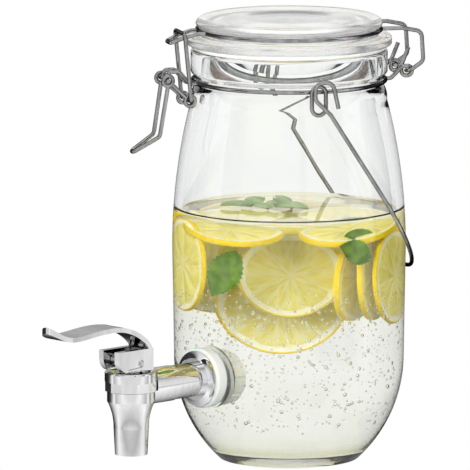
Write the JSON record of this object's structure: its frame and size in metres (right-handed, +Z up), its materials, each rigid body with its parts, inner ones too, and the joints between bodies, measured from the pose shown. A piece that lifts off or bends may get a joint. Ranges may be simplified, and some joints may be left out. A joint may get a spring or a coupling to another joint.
{
  "type": "glass drink dispenser with tap",
  "caption": "Swing-clip glass jar drink dispenser with hinged glass lid, wire carry handle and lever tap.",
  "frame": {"origin": "centre of the jar's base, on the surface it stands on", "axes": "+Z up along the jar's axis, -Y towards the tap's spout, +X to the right as seen from the tap"},
  "size_m": [0.1472, 0.2745, 0.2666],
  "materials": {
    "clear_glass": "clear polished glass",
    "silicone": "milky translucent silicone",
    "wire_steel": "bright stainless wire",
    "tap_chrome": "bright chrome plating",
    "nut_plastic": "pale natural plastic",
    "stem_steel": "stainless steel"
  },
  "bodies": {
    "jar": {"glass_jar": "clear_glass", "neck_band_wire": "wire_steel", "tap_body": "tap_chrome", "outer_washer": "silicone", "tap_flange": "tap_chrome", "inner_washer": "silicone", "lock_nut": "nut_plastic", "collar_nut": "tap_chrome", "bonnet_cap": "tap_chrome", "stem_o_ring": "silicone", "return_spring": "stem_steel"},
    "lid": {"lid_glass": "clear_glass", "lid_gasket": "silicone", "lid_band_wire": "wire_steel"},
    "clip_lever": {"clip_lever_wire": "wire_steel"},
    "clip_link": {"clip_link_wire": "wire_steel"},
    "carry_handle": {"carry_handle_wire": "wire_steel"},
    "valve": {"valve_stem": "stem_steel", "valve_seat_plug": "silicone"},
    "tap_lever": {"tap_lever": "tap_chrome", "lever_pin": "stem_steel"}
  },
  "joints": [
    {"name": "lid_hinge", "type": "hinge", "parent": "jar", "child": "lid", "pos_m": [0.03123, 0.06265, 0.233], "axis": [-0.8949, 0.4462, 0], "range_deg": [0, 110]},
    {"name": "clip_lever_swing", "type": "hinge", "parent": "jar", "child": "clip_lever", "pos_m": [-0.03463, -0.06945, 0.232], "axis": [-0.8949, 0.4462, 0], "range_deg": [0, 56]},
    {"name": "clip_link_swing", "type": "hinge", "parent": "clip_lever", "child": "clip_link", "pos_m": [-0.02856, -0.05728, 0.2194], "axis": [0.8949, -0.4462, 0], "range_deg": [0, 112]},
    {"name": "carry_handle_swing", "type": "hinge", "parent": "jar", "child": "carry_handle", "pos_m": [0, 0, 0.226], "axis": [0.8949, -0.4462, 0], "range_deg": [0, 294]},
    {"name": "tap_lever_press", "type": "hinge", "parent": "valve", "child": "tap_lever", "pos_m": [0, -0.1285, 0.0722], "axis": [1, 0, 0], "range_deg": [0, 25], "stiffness_Nm_per_rad": 0.2, "springref_deg": -5.73},
    {"name": "valve_lift", "type": "slide", "parent": "jar", "child": "valve", "axis": [0, 0, 1], "range_m": [0, 0.0048], "deforming": ["return_spring"]}
  ],
  "couplings": [
    {"joint": "clip_link_swing", "follows": "clip_lever_swing", "ratio": 2},
    {"joint": "valve_lift", "follows": "tap_lever_press", "m_per_rad": 0.0107}
  ]
}
